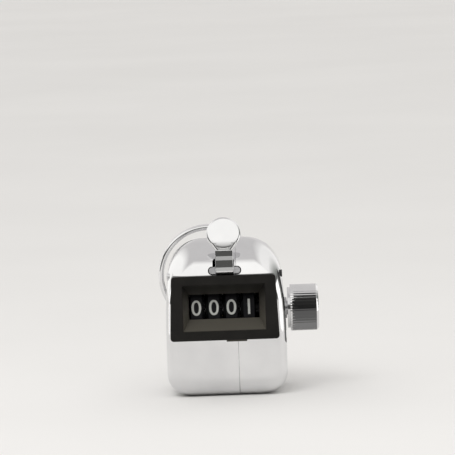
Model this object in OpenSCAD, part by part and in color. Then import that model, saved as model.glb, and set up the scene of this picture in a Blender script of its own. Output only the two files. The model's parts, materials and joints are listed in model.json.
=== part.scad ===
// Hand-held tally counter with four number wheels, a thumb lever, a reset knob and a finger ring.
// Millimetres. The base stands on z = 0, the window faces -y and the knob points to +x.

/* [Case] */
// Width of the case, side to side
case_w = 34; // [33:0.5:38]
// Depth of the case, front to back
case_d = 28; // [27:0.5:31]
// Height of the case without the lever
case_h = 43.7; // [42:0.1:46]
// Thickness of the drawn metal
wall = 0.9; // [0.7:0.05:1.1]
// Radius of the top shoulders, seen from the front
shoulder_r = 11; // [9:0.5:12]
// How far the shoulders stand in from the sides
shoulder_in = 0.8; // [0.3:0.1:1.2]
// Height above the base from which the sides lean in
draft_z = 16; // [14:0.5:18]
// Radius of the bottom corners, seen from the front
foot_r = 6.5; // [4:0.1:6.5]
// Radius of the bottom corners, seen from the side
heel_r = 5; // [3:0.1:6.5]
// Radius of the upright edges
edge_r = 3.5; // [2:0.1:4.2]
// Place of the seam between the halves, right of the middle
seam_x = 3.3; // [2.6:0.1:8]

/* [Number wheels] */
// Distance of the wheel shaft below the top of the case
shaft_drop = 20.7; // [20.4:0.1:21.2]
// Radius of a number wheel
wheel_r = 10.5; // [9.5:0.1:10.8]
// Width of a wheel's rim
rim_w = 3.1; // [2.8:0.1:3.3]
// Distance from wheel to wheel
wheel_pitch = 4.95; // [4.75:0.05:5]
// Middle of the row of wheels, right of the middle of the case
wheels_x = -0.8; // [-1:0.1:0]
// Radius of the main shaft
shaft_r = 2; // [1.6:0.1:2.4]
// Radius of a wheel's hub
hub_r = 3.2; // [2.8:0.1:3.8]
// Radius of the shaft of the carry pinions
pinion_shaft_r = 0.9; // [0.7:0.05:1.1]

/* [Window] */
// Height of the black frame
bezel_h = 18.3; // [17.6:0.1:19]
// Width of the black frame along its top edge
bezel_top_w = 29.3; // [28:0.1:30]
// Width of the black frame along its bottom edge
bezel_bottom_w = 30.8; // [29:0.1:31.4]
// Thickness of the frame in front of the case
bezel_t = 1; // [0.6:0.1:1.6]
// Width of the recess at the front
recess_w = 23.4; // [22.4:0.1:24]
// Height of the recess at the front
recess_h = 13.2; // [11.8:0.1:13.4]
// Width of the opening in front of the wheels
sight_w = 19.9; // [19:0.1:21]
// Height of the opening in front of the wheels
sight_h = 7; // [6:0.1:8]
// Height of the window's middle above the shaft
window_rise = 2.4; // [1.8:0.1:2.6]

/* [Thumb lever] */
// Distance of the lever's pivot behind the front of the case
pivot_setback = 5; // [4.8:0.1:5.4]
// Distance of the lever's pivot below the top of the case
pivot_drop = 9.7; // [9.4:0.1:9.9]
// Radius of the lever's pin
lever_pin_r = 1; // [0.8:0.05:1.2]
// Width of the lever's strip
strip_w = 5; // [4:0.1:6]
// Thickness of the lever's strip
strip_t = 1; // [0.8:0.05:1.2]
// Radius of the thumb pad
pad_r = 4.85; // [4:0.05:5.5]
// Lean of the thumb pad from upright, in degrees
pad_lean = 25; // [15:1:35]
// Turn of the lever for one count, in degrees
lever_travel = 24; // [23:0.5:25]

/* [Reset knob] */
// Radius of the fluted knob
knob_r = 6.6; // [5.5:0.1:8]
// Length of the knob, with its collar
knob_l = 8.8; // [7:0.1:10]
// Number of flutes round the knob
flutes = 44; // [30:2:60]
// Depth of a flute
flute_depth = 0.28; // [0.15:0.01:0.4]

/* [Finger ring] */
// Outer radius of the finger ring
ring_r = 14.6; // [12:0.1:16]
// Thickness of the ring's band
band_t = 1.6; // [1.2:0.1:2]
// Width of the ring's band
band_w = 4; // [3.6:0.1:5]
// Place of the ring, right of the middle of the case
ring_x = -4.4; // [-6.5:0.1:-3]
// Height of the ring's hinge above the base
hinge_z = 14.7; // [13:0.1:17]

/* [Hidden] */
$fn = 64;

// Clearances
running = 0.05;
fixed_fit = 0.02;
side_gap = 0.3;
end_gap = 0.1;

// Case
front_y = -case_d / 2;
back_y = case_d / 2;
side_x = case_w / 2;
arch_r = case_d / 2;
arch_z = case_h - arch_r;
shaft_z = case_h - shaft_drop;
shoulder_at = [side_x - shoulder_in - shoulder_r, case_h - shoulder_r];
to_shoulder = shoulder_at - [side_x, draft_z];
side_lean = atan2(to_shoulder[1], to_shoulder[0]) - asin(shoulder_r / norm(to_shoulder)) - 90;

// Carry gearing: 20-tooth gears on the wheels, 8-tooth pinions below them
shaft_at = [0, shaft_z];
gear_teeth = 20;
pinion_teeth = 8;
rim_gap = wheel_pitch - rim_w;
gear_t = (rim_gap - side_gap) / 2;
pinion_clear = 0.5;
carry_d = wheel_r + pinion_shaft_r + pinion_clear;
gear_r = carry_d * gear_teeth / (gear_teeth + pinion_teeth);
pinion_r = carry_d - gear_r;
tooth_module = 2 * gear_r / gear_teeth;
addendum = 0.65 * tooth_module;
dedendum = 0.88 * tooth_module;
tooth_root_w = 1.4 * tooth_module;
tooth_tip_w = 0.64 * tooth_module;
sector_r = gear_r - 1.75 * tooth_module;
carry_angle = -75;
pinion_at = shaft_at + carry_d * [cos(carry_angle), sin(carry_angle)];
gear_step = 360 / gear_teeth;
digit_step = 36;

// Middle of a wheel, from 0 for thousands to 3 for units
function wheel_c(i) = wheels_x + (i - 1.5) * wheel_pitch;

// Frame
plate_t = 1;
boss_l = 0.5;
left_plate_x = wheel_c(0) - rim_w / 2 - boss_l - end_gap - plate_t;
star_gap = 0.4;
star_t = 1;
star_x = wheel_c(3) + rim_w / 2 + star_gap;
arm_t = 1;
arm_x = star_x + star_t;
right_plate_x = arm_x + arm_t + star_gap;
plate_front = end_gap - wheel_r;
pillar_r = 1.6;
pillar_at = [[-8.6, 8.4], [8.6, 8.4]];
plate_edge = 2.7;
plate_low = pillar_at[0][1] - plate_edge;
plate_chamfer = 1.2;
ear_r = 2.2;
screw_r = 1;
screw_l = 5;
screw_head_r = 1.8;
screw_land = 0.1;
screw_head_h = wall - screw_land;
slot_w = 0.5;
slot_depth = 0.35;

// Lever, in the side view (y, z)
pivot = [front_y + pivot_setback, case_h - pivot_drop];
pin_proud = 0.15;
lever_pin_x = shoulder_at[0] + sqrt(pow(shoulder_r, 2) - pow(pivot[1] - shoulder_at[1], 2)) + pin_proud;
lever_x = 0.1;
hub_over = 2.2;
strip_x = lever_x - strip_w / 2;
lever_hub_wall = 0.9;
lever_hub_r = lever_pin_r + lever_hub_wall;
bend_setback = 0.1;
bend_rise = 2.2;
neck_setback = 1.4;
neck_rise = 7.4;
bend = pivot + [bend_setback - pivot_setback, bend_rise];
neck = pivot + [neck_setback - pivot_setback, neck_rise];
neck_half = 2.4;
pad_flare = 0.8;
pad_drop = 0.1;
pad_reach = pad_r + pad_drop;
pad_front = 0.9;
pad_back = 0.5;
dome_r = 22;
tongue_setback = 5;
tongue_rise = 4;
tongue = pivot + [tongue_setback, tongue_rise];
tongue_w = 1.6;
spring_x = strip_x + tongue_w / 2;

// Drive: the finger on the lever acts on the star wheel as one tooth of a gear pair
centre_d = norm(pivot - shaft_at);
pivot_angle = atan2(pivot[1] - shaft_z, pivot[0]);
star_ratio = digit_step / lever_travel;
star_pitch_r = centre_d / (1 + star_ratio);
star_addendum = 0.52;
star_dedendum = 1.5;
star_r = star_pitch_r + star_addendum;
star_root_r = star_pitch_r - star_dedendum;
star_tooth_w = 0.55;
finger_w = 0.6;
finger_t = 0.9;
finger_addendum = 0.55;
finger_l = centre_d - star_pitch_r + finger_addendum;
finger_lead = 21;
finger_lag = 9;
finger_angle = pivot_angle + 180 + finger_lead;
finger_way = [cos(finger_angle), sin(finger_angle)];
star_phase = pivot_angle - star_ratio * finger_lead + finger_lag;
tab_r = 1.1;
tab_reach = 3.6;
finger_root = pivot + tab_reach * finger_way;
finger_tip = pivot + (finger_l - finger_w / 2) * finger_way;
rivet_r = 0.5;
rivet_head_r = 0.8;
rivet_head_h = 0.25;
detent_w = 0.5;
detent_eye = 0.7;
detent_gap = 0.2;
detent_angle = -40;

// Return spring of the lever: one wire, straight at both ends
wire_r = 0.175;
coil_r = 0.9;
coil_turns = 3;
wire_seat = 0.3;
wire_sides = 8;
wire_steps = 72;
straight_part = 0.1;
lug_drop = 2.2;
lug_z = case_h - lug_drop;
lug_w = 1.4;
spring_low = tongue[1] + tongue_w / 2 - wire_seat;
spring_high = lug_z + wire_seat;

// Window
bezel_x = -0.4;
window_z = shaft_z + window_rise;
bezel_low = window_z - bezel_h / 2;
bezel_top = window_z + bezel_h / 2;
bezel_wall = 0.9;
bezel_clear = 0.15;
bezel_front = front_y - bezel_t;
wheel_clear = 0.4;
bezel_back = -wheel_r - wheel_clear;
bezel_fit = 0.05;
bezel_lip_w = 5.8;
bezel_lip_h = 0.5;

// Slot for the lever
lever_slot_w = 9.4;
lever_slot_h = 2.3;
lever_notch_w = 7.2;
lever_notch_rise = 5;

// Reset shaft, from the clip at the left plate to the knob
bush_wall = 1;
bush_r = shaft_r + bush_wall;
bush_rim = 1.2;
bush_flange_r = bush_r + bush_rim;
bush_seat_x = side_x - wall - fixed_fit - (shaft_z + bush_flange_r - draft_z) * tan(side_lean);
bush_flange_t = 0.6;
bush_out = 0.4;
knob_gap = 0.2;
knob_x = side_x + bush_out + knob_gap;
knob_end = knob_x + knob_l;
collar_l = 0.8;
collar_step = 0.8;
knob_chamfer = 0.6;
shaft_tail = 1.2;
shaft_low = left_plate_x - shaft_tail;
knob_end_wall = 2.8;
shaft_end = knob_end - knob_end_wall;
knob_sink = 1.5;
knob_seat = knob_end - knob_sink;
counterbore_r = 2.3;
knob_screw_r = 1;
knob_head_r = 2;
knob_head_h = 1.2;
knob_screw_l = 5;
clip_t = 0.45;
clip_depth = 0.5;
clip_neck_r = shaft_r - clip_depth;
clip_rim = 1.2;
clip_r = shaft_r + clip_rim;

// Finger ring and its hinge
bracket_t = 0.8;
ring_pin_r = 0.7;
knuckle_r = 1.6;
knuckle_w = 4.2;
knuckle_neck = 2.4;
ear_gap = 0.1;
ear_t = 1;
hinge_y = back_y + bracket_t + side_gap + band_w / 2;
hinge_at = [hinge_y, hinge_z];
ring_z = hinge_z + knuckle_r + side_gap + ring_r;
ear_x = knuckle_w / 2 + ear_gap;
bracket_w = 8.8;
bracket_below = 4.5;
bracket_above = 1.6;
pin_head_r = 1.1;
pin_head_t = 0.4;
bracket_rivet_r = 0.7;
bracket_rivet_head_r = 1.1;
bracket_rivet_head_t = 0.5;
bracket_rivet_x = 2.4;
bracket_rivet_z = hinge_z - 2.9;

// Rod along x at a point of the side view
module rod_x(at, r, from, to) {
    translate([from, at[0], at[1]])
        rotate([0, 90, 0])
            cylinder(h = to - from, r = r);
}

// Rod along y at a point of the front view
module rod_y(at, r, from, to) {
    translate([at[0], to, at[1]])
        rotate([90, 0, 0])
            cylinder(h = to - from, r = r);
}

// Extrudes a side outline, drawn as (y, z), along x
module along_x(from, to) {
    translate([from, 0, 0])
        rotate([90, 0, 90])
            linear_extrude(to - from)
                children();
}

// Extrudes a front outline, drawn as (x, z), along y
module along_y(from, to) {
    translate([0, to, 0])
        rotate([90, 0, 0])
            linear_extrude(to - from)
                children();
}

// Flat bar with round ends between two points of an outline
module link(a, b, w) {
    translate(a)
        rotate(atan2(b[1] - a[1], b[0] - a[0]))
            translate([0, -w / 2])
                square([norm(b - a), w]);
    translate(a)
        circle(d = w);
    translate(b)
        circle(d = w);
}

// Teeth of a flat gear on a root circle, at the given angles
module toothed(root_r, tip_r, root_w, tip_w, angles) {
    foot = root_r - 0.3;
    circle(r = root_r);
    for (a = angles)
        rotate(a)
            polygon([[foot, -root_w / 2], [tip_r, -tip_w / 2], [tip_r, tip_w / 2], [foot, root_w / 2]]);
}

// Front view of the case: upright sides that lean in to round shoulders
module front_outline(inset) {
    touch = shoulder_at + (shoulder_r - inset) * [cos(side_lean), sin(side_lean)];
    polygon([
        [foot_r - side_x, inset], [side_x - foot_r, inset],
        [side_x - inset, foot_r], [side_x - inset, draft_z],
        touch, [shoulder_at[0], case_h - inset],
        [-shoulder_at[0], case_h - inset], [-touch[0], touch[1]],
        [inset - side_x, draft_z], [inset - side_x, foot_r],
    ]);
    for (side = [-1, 1]) {
        translate([side * (side_x - foot_r), foot_r])
            circle(r = foot_r - inset);
        translate([side * shoulder_at[0], shoulder_at[1]])
            circle(r = shoulder_r - inset);
    }
}

// Plan of the case: a rectangle with rounded corners
module plan_outline(inset) {
    square([case_w - 2 * edge_r, case_d - 2 * inset], center = true);
    square([case_w - 2 * inset, case_d - 2 * edge_r], center = true);
    for (x = [edge_r - side_x, side_x - edge_r])
        for (y = [front_y + edge_r, back_y - edge_r])
            translate([x, y])
                circle(r = edge_r - inset);
}

// Side view of the case: upright walls under a round arch
module side_outline(inset) {
    polygon([
        [front_y + heel_r, inset], [back_y - heel_r, inset],
        [back_y - inset, heel_r], [back_y - inset, arch_z],
        [front_y + inset, arch_z], [front_y + inset, heel_r],
    ]);
    for (side = [-1, 1])
        translate([side * (back_y - heel_r), heel_r])
            circle(r = heel_r - inset);
    translate([0, arch_z])
        circle(r = arch_r - inset);
}

// Outer form of the case, or its hollow when inset by the wall
module case_form(inset) {
    intersection() {
        along_y(-case_d, case_d)
            front_outline(inset);
        along_x(-case_w, case_w)
            side_outline(inset);
        translate([0, 0, -1])
            linear_extrude(case_h + 2)
                plan_outline(inset);
    }
}

// Countersunk screw pointing to -x, with its head at x = 0
module countersunk(grow) {
    rotate([0, -90, 0]) {
        cylinder(h = screw_head_h, r1 = screw_head_r + grow, r2 = screw_r + grow);
        cylinder(h = screw_head_h + screw_l, r = screw_r + grow);
    }
}

// Places its child at the four screws of the case
module at_screws() {
    for (at = pillar_at)
        for (side = [0, 1])
            mirror([side, 0, 0])
                translate([side_x, at[0], at[1]])
                    children();
}

// Drawn metal shell between two planes, with the openings that both halves share
module case_half(from, to) {
    slot_z = bezel_top + lever_slot_h / 2;
    slot_half = (lever_slot_w - lever_slot_h) / 2;
    notch_high = pivot[1] + lever_notch_rise;
    difference() {
        intersection() {
            case_form(0);
            translate([from, -case_d, -1])
                cube([to - from, 2 * case_d, case_h + 2]);
        }
        case_form(wall);
        along_y(2 * front_y, bezel_back)
            translate([bezel_x, window_z])
                square([recess_w + 2 * (bezel_wall + bezel_clear), recess_h + 2 * (bezel_wall + bezel_clear)],
                       center = true);
        along_y(2 * front_y, pivot[0] + lever_hub_r) {
            link([lever_x - slot_half, slot_z], [lever_x + slot_half, slot_z], lever_slot_h);
            translate([lever_x - lever_notch_w / 2, slot_z])
                square([lever_notch_w, notch_high - slot_z]);
        }
        rod_x(pivot, lever_pin_r + fixed_fit, -case_w, case_w);
        at_screws() {
            countersunk(running);
            rotate([0, 90, 0])
                cylinder(h = 1, r = screw_head_r + running);
        }
    }
}

module left_case() {
    color("silver")
    difference() {
        union() {
            case_half(-case_w, seam_x);
            intersection() {
                case_form(wall / 2);
                translate([spring_x - lug_w / 2, tongue[0] - lug_w / 2, lug_z])
                    cube([lug_w, lug_w, case_h - lug_z]);
            }
        }
        translate([spring_x, tongue[0], lug_z - 1])
            cylinder(h = 1 + wire_seat + running, r = wire_r + running);
        for (side = [-1, 1])
            rod_y([ring_x + side * bracket_rivet_x, bracket_rivet_z], bracket_rivet_r + fixed_fit, 0, case_d);
    }
}

module right_case() {
    color("silver")
    difference() {
        case_half(seam_x, case_w);
        rod_x(shaft_at, bush_r + fixed_fit, 0, case_w);
    }
}

// Section of the recess along its depth, wide at the front and narrow at the wheels
module recess_outline(wide, narrow) {
    polygon([
        [bezel_front - 1, -wide / 2], [bezel_front, -wide / 2], [bezel_back, -narrow / 2],
        [bezel_back + 1, -narrow / 2], [bezel_back + 1, narrow / 2], [bezel_back, narrow / 2],
        [bezel_front, wide / 2], [bezel_front - 1, wide / 2],
    ]);
}

module window_bezel() {
    color("dimgray")
    difference() {
        union() {
            difference() {
                along_y(bezel_front, bezel_back)
                    translate([bezel_x, 0])
                        polygon([
                            [-bezel_bottom_w / 2, bezel_low], [bezel_bottom_w / 2, bezel_low],
                            [bezel_top_w / 2, bezel_top], [-bezel_top_w / 2, bezel_top],
                        ]);
                case_form(-bezel_fit);
            }
            along_y(bezel_front, bezel_back)
                translate([bezel_x, window_z])
                    square([recess_w + 2 * bezel_wall, recess_h + 2 * bezel_wall], center = true);
            translate([0, front_y - bezel_t / 2, bezel_low - bezel_lip_h])
                cube([bezel_lip_w, bezel_t / 2 - bezel_fit, bezel_lip_h + bezel_wall]);
        }
        intersection() {
            along_x(-case_w, case_w)
                translate([0, window_z])
                    recess_outline(recess_h, sight_h);
            linear_extrude(case_h)
                translate([bezel_x, 0])
                    mirror([1, -1])
                        recess_outline(recess_w, sight_w);
        }
    }
}

// Side view of a frame plate
module plate_outline() {
    top = pivot[1] - ear_r / 4;
    difference() {
        union() {
            polygon([
                [plate_front, plate_low + plate_chamfer], [plate_front + plate_chamfer, plate_low],
                [-plate_front - plate_chamfer, plate_low], [-plate_front, plate_low + plate_chamfer],
                [-plate_front, shaft_z], [-plate_front / 2, top], [plate_front, top],
            ]);
            translate(pivot)
                circle(r = ear_r);
        }
        for (at = pillar_at)
            translate(at)
                circle(r = pillar_r + fixed_fit);
        translate(pivot)
            circle(r = lever_pin_r + fixed_fit);
        translate(shaft_at)
            circle(r = shaft_r + running);
        translate(pinion_at)
            circle(r = pinion_shaft_r + fixed_fit);
    }
}

module left_plate() {
    color("dimgray")
    along_x(left_plate_x, left_plate_x + plate_t)
        plate_outline();
}

module right_plate() {
    color("dimgray")
    along_x(right_plate_x, right_plate_x + plate_t)
        plate_outline();
}

module frame_pillars() {
    inner_x = side_x - wall;
    hole_l = screw_l - wall + screw_head_h + 0.3;
    color("gray")
    for (at = pillar_at)
        difference() {
            rod_x(at, pillar_r, -inner_x, inner_x);
            rod_x(at, screw_r + fixed_fit, inner_x - hole_l, case_w);
            rod_x(at, screw_r + fixed_fit, -case_w, hole_l - inner_x);
        }
}

module case_screws() {
    color("gray")
    at_screws()
        difference() {
            countersunk(0);
            cube([2 * slot_depth, 4 * screw_head_r, slot_w], center = true);
        }
}

module main_shaft() {
    groove_x = left_plate_x - end_gap;
    color("lightgray")
    difference() {
        rod_x(shaft_at, shaft_r, shaft_low, shaft_end);
        difference() {
            rod_x(shaft_at, shaft_r + 1, groove_x - clip_t, groove_x);
            rod_x(shaft_at, clip_neck_r, groove_x - 1, groove_x + 1);
        }
        rod_x(shaft_at, knob_screw_r + fixed_fit, knob_seat - knob_screw_l - 0.2, shaft_end + 1);
    }
}

module shaft_clip() {
    groove_x = left_plate_x - end_gap;
    color("dimgray")
    along_x(groove_x - clip_t + fixed_fit, groove_x - fixed_fit)
        translate(shaft_at)
            difference() {
                circle(r = clip_r);
                circle(r = clip_neck_r + fixed_fit);
                translate([-0.8 * clip_neck_r, -2 * clip_r])
                    square([1.6 * clip_neck_r, 2 * clip_r]);
            }
}

module shaft_bush() {
    color("gray")
    difference() {
        union() {
            rod_x(shaft_at, bush_flange_r, bush_seat_x - bush_flange_t, bush_seat_x);
            rod_x(shaft_at, bush_r, bush_seat_x - bush_flange_t, side_x + bush_out);
        }
        rod_x(shaft_at, shaft_r + running, 0, case_w);
    }
}

module reset_knob() {
    flute_step = 360 / flutes;
    body_x = knob_x + collar_l;
    color("silver")
    difference() {
        union() {
            rod_x(shaft_at, knob_r - collar_step, knob_x, body_x);
            intersection() {
                along_x(body_x, knob_end)
                    translate(shaft_at)
                        polygon([
                            for (k = [0:flutes - 1])
                                for (part = [[0, -flute_depth], [0.3, 0], [0.7, 0]])
                                    (knob_r + part[1])
                                    * [cos((k + part[0]) * flute_step), sin((k + part[0]) * flute_step)]
                        ]);
                translate([body_x, 0, shaft_z])
                    rotate([0, 90, 0])
                        rotate_extrude()
                            polygon([
                                [0, 0], [knob_r + 1, 0], [knob_r + 1, knob_end - body_x - knob_chamfer - 1],
                                [knob_r - knob_chamfer, knob_end - body_x], [0, knob_end - body_x],
                            ]);
            }
        }
        rod_x(shaft_at, shaft_r + fixed_fit, 0, shaft_end);
        rod_x(shaft_at, knob_screw_r + running, 0, case_w);
        rod_x(shaft_at, counterbore_r, knob_seat, 2 * case_w);
    }
}

module knob_screw() {
    color("gray")
    difference() {
        union() {
            rod_x(shaft_at, knob_screw_r, knob_seat - knob_screw_l, knob_seat);
            rod_x(shaft_at, knob_head_r, knob_seat, knob_seat + knob_head_h);
        }
        translate([knob_seat + knob_head_h, 0, shaft_z])
            cube([2 * slot_depth, 4 * knob_head_r, slot_w], center = true);
    }
}

// Number wheel with its carry gear on the right and its carry sector on the left
module number_wheel(i, sector_steps) {
    left = wheel_c(i) - rim_w / 2;
    right = wheel_c(i) + rim_w / 2;
    color("black")
    difference() {
        union() {
            rod_x(shaft_at, wheel_r, left, right);
            if (i < 3)
                along_x(right, right + gear_t)
                    translate(shaft_at)
                        toothed(gear_r - dedendum, gear_r + addendum, tooth_root_w, tooth_tip_w,
                                [for (k = [0:gear_teeth - 1]) carry_angle + (k + 0.5) * gear_step]);
            else
                rod_x(shaft_at, hub_r, right, star_x);
            if (i > 0)
                along_x(left - gear_t, left)
                    translate(shaft_at)
                        toothed(sector_r, gear_r + addendum, tooth_root_w, tooth_tip_w,
                                [for (k = sector_steps) carry_angle + (k + 0.5) * gear_step]);
            else
                rod_x(shaft_at, hub_r, left - boss_l, left);
        }
        rod_x(shaft_at, shaft_r + running, -case_w, case_w);
    }
}

module units_wheel() {
    number_wheel(3, [2, 3]);
}

module tens_wheel() {
    number_wheel(2, [0, 1]);
}

module hundreds_wheel() {
    number_wheel(1, [0, 1]);
}

module thousands_wheel() {
    number_wheel(0, []);
}

module star_wheel() {
    color("dimgray")
    difference() {
        union() {
            along_x(star_x, star_x + star_t)
                translate(shaft_at)
                    toothed(star_root_r, star_r, star_tooth_w, star_tooth_w,
                            [for (k = [0:9]) star_phase + k * digit_step]);
            rod_x(shaft_at, hub_r, star_x, right_plate_x - end_gap);
        }
        rod_x(shaft_at, shaft_r + running, 0, case_w);
    }
}

module pinion_shaft() {
    color("lightgray")
    rod_x(pinion_at, pinion_shaft_r, left_plate_x, right_plate_x + plate_t);
}

// Carry pinion between wheel i and the next wheel on its right
module carry_pinion(i) {
    color("goldenrod")
    along_x(wheel_c(i) + rim_w / 2 + end_gap, wheel_c(i + 1) - rim_w / 2 - end_gap)
        translate(pinion_at)
            difference() {
                toothed(pinion_r - dedendum, pinion_r + addendum, tooth_root_w, tooth_tip_w,
                        [for (k = [0:pinion_teeth - 1]) carry_angle + 180 + k * 360 / pinion_teeth]);
                circle(r = pinion_shaft_r + running);
            }
}

module tens_pinion() {
    carry_pinion(2);
}

module hundreds_pinion() {
    carry_pinion(1);
}

module thousands_pinion() {
    carry_pinion(0);
}

// Flat outline of the thumb pad: a disc with straight flanks down to the neck
module pad_outline() {
    high_half = neck_half + pad_flare;
    translate([0, pad_reach])
        circle(r = pad_r);
    polygon([[-neck_half, 0], [neck_half, 0], [high_half, pad_reach], [-high_half, pad_reach]]);
}

module thumb_lever() {
    color("silver")
    difference() {
        union() {
            rod_x(pivot, lever_hub_r, strip_x - hub_over, arm_x + arm_t);
            along_x(strip_x, strip_x + strip_w) {
                link(pivot, bend, strip_t);
                link(bend, neck, strip_t);
            }
            translate([lever_x, neck[0], neck[1]])
                rotate([90 - pad_lean, 0, 0])
                    intersection() {
                        translate([0, 0, -pad_back])
                            linear_extrude(pad_back + pad_front)
                                pad_outline();
                        translate([0, pad_reach, pad_front - dome_r])
                            sphere(r = dome_r);
                    }
            along_x(spring_x - tongue_w / 2, spring_x + tongue_w / 2)
                link(pivot, tongue, tongue_w);
            along_x(arm_x, arm_x + arm_t)
                link(pivot, finger_root, 2 * tab_r);
        }
        rod_x(pivot, lever_pin_r + running, -case_w, case_w);
        rod_x(finger_root, rivet_r + fixed_fit, 0, case_w);
        translate([spring_x, tongue[0], spring_low - running])
            cylinder(h = 2, r = wire_r + running);
    }
}

module lever_pin() {
    color("gray")
    rod_x(pivot, lever_pin_r, -lever_pin_x, lever_pin_x);
}

// Middle line of the spring's wire, from 0 at the lever to 1 at the case
function wire_at(t) =
    let (
        from_end = min(t, 1 - t) - straight_part,
        ramp = max(0, min(1, from_end / 0.2)),
        r = coil_r * ramp * ramp * (3 - 2 * ramp),
        a = 360 * coil_turns * t
    )
    [r * cos(a), r * sin(a), spring_low + (spring_high - spring_low) * t];

// Ring of points round the wire
function wire_ring(t) =
    let (
        d = 0.002,
        way = wire_at(t + d) - wire_at(t - d),
        along = way / norm(way),
        a = 360 * coil_turns * t,
        side = cross(along, [cos(a), sin(a), 0]),
        v = side / norm(side),
        u = cross(v, along)
    )
    [for (k = [0:wire_sides - 1])
        wire_at(t) + wire_r * (cos(k * 360 / wire_sides) * u + sin(k * 360 / wire_sides) * v)];

// Smallest gap between one turn of the wire and the next
function wire_gap() =
    min([for (i = [0:wire_steps]) for (j = [i:wire_steps])
        if (j - i > wire_steps / coil_turns / 2)
            norm(wire_at(i / wire_steps) - wire_at(j / wire_steps)) - 2 * wire_r]);

module lever_spring() {
    rings = [for (i = [0:wire_steps]) each wire_ring(i / wire_steps)];
    walls = [for (i = [0:wire_steps - 1]) for (k = [0:wire_sides - 1])
        let (next = (k + 1) % wire_sides)
        [i * wire_sides + k, (i + 1) * wire_sides + k, (i + 1) * wire_sides + next, i * wire_sides + next]];
    low_end = [for (k = [0:wire_sides - 1]) k];
    high_end = [for (k = [0:wire_sides - 1]) wire_steps * wire_sides + wire_sides - 1 - k];
    echo(wire_gap = wire_gap());
    color("gray")
    translate([spring_x, tongue[0], 0])
        polyhedron(points = rings, faces = concat(walls, [low_end, high_end]));
}

module drive_finger() {
    color("lightgray")
    along_x(arm_x - finger_t, arm_x)
        difference() {
            union() {
                link(finger_root, finger_tip, finger_w);
                translate(finger_root)
                    circle(r = tab_r);
            }
            translate(finger_root)
                circle(r = rivet_r + fixed_fit);
        }
}

module finger_rivet() {
    left = arm_x - finger_t;
    right = arm_x + arm_t;
    color("gray")
    union() {
        rod_x(finger_root, rivet_r, left, right);
        rod_x(finger_root, rivet_head_r, left - rivet_head_h, left);
        rod_x(finger_root, rivet_head_r, right, right + rivet_head_h);
    }
}

module detent_spring() {
    tip_r = star_r + detent_gap + detent_w / 2;
    color("lightgray")
    along_x(star_x + end_gap, star_x + star_t - end_gap)
        difference() {
            union() {
                translate(pillar_at[1])
                    circle(r = pillar_r + detent_eye);
                link(pillar_at[1] + [0, pillar_r + detent_eye / 2],
                     shaft_at + tip_r * [cos(detent_angle), sin(detent_angle)], detent_w);
            }
            translate(pillar_at[1])
                circle(r = pillar_r + fixed_fit);
        }
}

module finger_ring() {
    color("silver")
    difference() {
        union() {
            difference() {
                rod_y([ring_x, ring_z], ring_r, hinge_y - band_w / 2, hinge_y + band_w / 2);
                rod_y([ring_x, ring_z], ring_r - band_t, 0, 2 * case_d);
            }
            rod_x(hinge_at, knuckle_r, ring_x - knuckle_w / 2, ring_x + knuckle_w / 2);
            translate([ring_x - knuckle_neck / 2, hinge_y - knuckle_neck / 2, hinge_z])
                cube([knuckle_neck, knuckle_neck, ring_z - ring_r + band_t / 2 - hinge_z]);
        }
        rod_x(hinge_at, ring_pin_r + running, -case_w, case_w);
    }
}

module ring_bracket() {
    color("silver")
    difference() {
        union() {
            translate([ring_x - bracket_w / 2, back_y, hinge_z - bracket_below])
                cube([bracket_w, bracket_t, bracket_below + bracket_above]);
            for (side = [0, 1])
                translate([ring_x, 0, 0])
                    mirror([side, 0, 0])
                        along_x(ear_x, ear_x + ear_t) {
                            translate(hinge_at)
                                circle(r = knuckle_r);
                            translate([back_y, hinge_z - knuckle_r])
                                square([hinge_y - back_y, 2 * knuckle_r]);
                        }
        }
        rod_x(hinge_at, ring_pin_r + fixed_fit, -case_w, case_w);
        for (side = [-1, 1])
            rod_y([ring_x + side * bracket_rivet_x, bracket_rivet_z], bracket_rivet_r + fixed_fit, 0, case_d);
    }
}

module ring_pin() {
    outer = ear_x + ear_t;
    color("gray")
    union() {
        rod_x(hinge_at, ring_pin_r, ring_x - outer, ring_x + outer);
        rod_x(hinge_at, pin_head_r, ring_x - outer - pin_head_t, ring_x - outer);
        rod_x(hinge_at, pin_head_r, ring_x + outer, ring_x + outer + pin_head_t);
    }
}

module bracket_rivets() {
    outer_y = back_y + bracket_t;
    inner_y = back_y - wall;
    color("gray")
    for (side = [-1, 1]) {
        at = [ring_x + side * bracket_rivet_x, bracket_rivet_z];
        rod_y(at, bracket_rivet_r, inner_y, outer_y);
        rod_y(at, bracket_rivet_head_r, outer_y, outer_y + bracket_rivet_head_t);
        rod_y(at, bracket_rivet_head_r, inner_y - bracket_rivet_head_t, inner_y);
    }
}

left_case();
right_case();
window_bezel();
left_plate();
right_plate();
frame_pillars();
case_screws();
main_shaft();
shaft_clip();
shaft_bush();
reset_knob();
knob_screw();
units_wheel();
tens_wheel();
hundreds_wheel();
thousands_wheel();
star_wheel();
pinion_shaft();
tens_pinion();
hundreds_pinion();
thousands_pinion();
thumb_lever();
lever_pin();
lever_spring();
drive_finger();
finger_rivet();
detent_spring();
finger_ring();
ring_bracket();
ring_pin();
bracket_rivets();
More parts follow.
